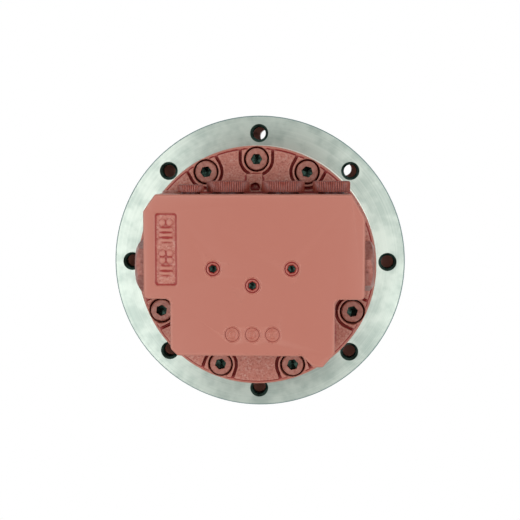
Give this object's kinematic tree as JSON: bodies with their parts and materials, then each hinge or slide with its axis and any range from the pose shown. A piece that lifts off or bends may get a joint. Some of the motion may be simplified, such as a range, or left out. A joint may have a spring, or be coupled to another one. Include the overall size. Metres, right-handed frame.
{
  "type": "excavator final drive",
  "caption": "Track drive of a small excavator: round turning hub with planetary gears, bolted frame flange and an axial piston motor under a rectangular port block",
  "frame": {"origin": "centre of the end cover's outer face, on the spin axis; the drive stands on it", "axes": "+Z along the spin axis from the end cover to the port block's cover face; +Y towards the side face with the hydraulic ports; +X to the right when +Y is up seen from the motor side"},
  "size_m": [0.252, 0.252, 0.267],
  "materials": {
    "bare_turned_steel": "turned",
    "red_painted_casting": "satin sprayed paint over sand cast iron",
    "red_painted_fasteners": "satin sprayed paint over steel",
    "red_painted_caps": "moulded plastic under sprayed paint",
    "hardened_gear_steel": "case hardened, ground",
    "machined_steel": "machined",
    "cylinder_block_iron": "machined iron",
    "bronze": "turned bronze",
    "bearing_steel": "ground and polished",
    "black_rubber": "moulded nitrile rubber",
    "spring_steel": "oil tempered wire",
    "friction_lining": "sintered lining on steel",
    "black_oxide_steel": "black oxide"
  },
  "bodies": {
    "frame_side": {"spindle": "bare_turned_steel", "rear_flange": "red_painted_casting", "rear_flange_screws": "red_painted_fasteners", "rear_flange_seal": "black_rubber", "passage_plugs": "red_painted_fasteners", "passage_discs": "red_painted_fasteners", "valve_plugs": "red_painted_fasteners", "valve_plug_seals": "black_rubber", "valve_springs": "spring_steel", "selector_plug": "red_painted_fasteners", "selector_spring": "spring_steel", "pilot_port_cap": "red_painted_caps", "main_port_caps": "red_painted_caps", "drain_port_cap": "red_painted_caps", "second_carrier": "machined_steel", "second_carrier_screws": "black_oxide_steel", "second_planet_pins": "machined_steel", "second_planet_rollers": "bearing_steel", "main_bearing_inner_rings": "bearing_steel", "fixed_seal_ring": "bearing_steel", "fixed_seal_cord": "black_rubber", "shaft_oil_seal": "black_rubber", "shaft_bearing_outer_rings": "bearing_steel", "swash_plate": "machined_steel", "swash_pivots": "bearing_steel", "swash_piston": "machined_steel", "valve_plate": "bronze", "brake_plates": "machined_steel", "brake_springs": "spring_steel"},
    "hub": {"hub": "red_painted_casting", "end_cover": "red_painted_casting", "end_cover_screws": "red_painted_fasteners", "oil_plugs": "red_painted_fasteners", "end_cover_seal": "black_rubber", "main_bearing_outer_rings": "bearing_steel", "turning_seal_ring": "bearing_steel", "turning_seal_cord": "black_rubber"},
    "motor_shaft": {"drive_shaft": "machined_steel", "first_sun": "hardened_gear_steel", "cylinder_block": "cylinder_block_iron", "pistons": "bearing_steel", "slippers": "bronze", "retainer_plate": "machined_steel", "brake_discs": "friction_lining", "shaft_bearing_inner_rings": "bearing_steel"},
    "first_carrier": {"first_carrier": "machined_steel", "second_sun": "hardened_gear_steel", "first_planet_pins": "machined_steel", "first_planet_rollers": "bearing_steel"},
    "brake_piston": {"brake_piston": "machined_steel"},
    "counterbalance_spool": {"counterbalance_spool": "machined_steel"},
    "selector_spool": {"selector_spool": "machined_steel"},
    "main_bearing_balls": {"main_bearing_balls": "bearing_steel"},
    "shaft_bearing_balls": {"shaft_bearing_balls": "bearing_steel"},
    "first_planet_1": {"first_planet_1": "hardened_gear_steel"},
    "second_planet_1": {"second_planet_1": "hardened_gear_steel"},
    "first_planet_2": {"first_planet_2": "hardened_gear_steel"},
    "second_planet_2": {"second_planet_2": "hardened_gear_steel"},
    "first_planet_3": {"first_planet_3": "hardened_gear_steel"},
    "second_planet_3": {"second_planet_3": "hardened_gear_steel"}
  },
  "joints": [
    {"name": "hub_spin", "type": "hinge", "parent": "frame_side", "child": "hub", "pos_m": [0, 0, 0.08], "axis": [0, 0, 1], "continuous": true},
    {"name": "first_carrier_spin", "type": "hinge", "parent": "frame_side", "child": "first_carrier", "pos_m": [0, 0, 0.045], "axis": [0, 0, 1], "continuous": true},
    {"name": "motor_shaft_spin", "type": "hinge", "parent": "frame_side", "child": "motor_shaft", "pos_m": [0, 0, 0.15], "axis": [0, 0, 1], "continuous": true},
    {"name": "main_bearing_balls_orbit", "type": "hinge", "parent": "frame_side", "child": "main_bearing_balls", "pos_m": [0, 0, 0.1135], "axis": [0, 0, 1], "continuous": true},
    {"name": "shaft_bearing_balls_orbit", "type": "hinge", "parent": "frame_side", "child": "shaft_bearing_balls", "pos_m": [0, 0, 0.16], "axis": [0, 0, 1], "continuous": true},
    {"name": "second_planet_1_spin", "type": "hinge", "parent": "frame_side", "child": "second_planet_1", "pos_m": [0.048, 0, 0.0655], "axis": [0, 0, 1], "continuous": true},
    {"name": "first_planet_1_spin", "type": "hinge", "parent": "first_carrier", "child": "first_planet_1", "pos_m": [0.045, 0, 0.03], "axis": [0, 0, 1], "continuous": true},
    {"name": "second_planet_2_spin", "type": "hinge", "parent": "frame_side", "child": "second_planet_2", "pos_m": [-0.024, 0.04157, 0.0655], "axis": [0, 0, 1], "continuous": true},
    {"name": "first_planet_2_spin", "type": "hinge", "parent": "first_carrier", "child": "first_planet_2", "pos_m": [-0.0225, 0.03897, 0.03], "axis": [0, 0, 1], "continuous": true},
    {"name": "second_planet_3_spin", "type": "hinge", "parent": "frame_side", "child": "second_planet_3", "pos_m": [-0.024, -0.04157, 0.0655], "axis": [0, 0, 1], "continuous": true},
    {"name": "first_planet_3_spin", "type": "hinge", "parent": "first_carrier", "child": "first_planet_3", "pos_m": [-0.0225, -0.03897, 0.03], "axis": [0, 0, 1], "continuous": true},
    {"name": "brake_piston_slide", "type": "slide", "parent": "frame_side", "child": "brake_piston", "axis": [0, 0, 1], "range_m": [0, 0.0015], "stiffness_N_per_m": 20000, "springref_m": -0.003, "deforming": ["brake_springs"]},
    {"name": "counterbalance_spool_slide", "type": "slide", "parent": "frame_side", "child": "counterbalance_spool", "axis": [1, 0, 0], "range_m": [-0.005, 0.005], "stiffness_N_per_m": 4000, "deforming": ["valve_springs"]},
    {"name": "selector_spool_slide", "type": "slide", "parent": "frame_side", "child": "selector_spool", "axis": [0, 1, 0], "range_m": [-0.004, 0], "stiffness_N_per_m": 1500, "springref_m": 0.002, "deforming": ["selector_spring"]}
  ],
  "couplings": [
    {"joint": "first_carrier_spin", "follows": "hub_spin", "ratio": -4.3333},
    {"joint": "motor_shaft_spin", "follows": "hub_spin", "ratio": -39},
    {"joint": "main_bearing_balls_orbit", "follows": "hub_spin", "ratio": 0.54331},
    {"joint": "shaft_bearing_balls_orbit", "follows": "hub_spin", "ratio": -15.473},
    {"joint": "second_planet_1_spin", "follows": "hub_spin", "ratio": 2.6},
    {"joint": "first_planet_1_spin", "follows": "hub_spin", "ratio": 12.606},
    {"joint": "second_planet_2_spin", "follows": "hub_spin", "ratio": 2.6},
    {"joint": "first_planet_2_spin", "follows": "hub_spin", "ratio": 12.606},
    {"joint": "second_planet_3_spin", "follows": "hub_spin", "ratio": 2.6},
    {"joint": "first_planet_3_spin", "follows": "hub_spin", "ratio": 12.606}
  ]
}
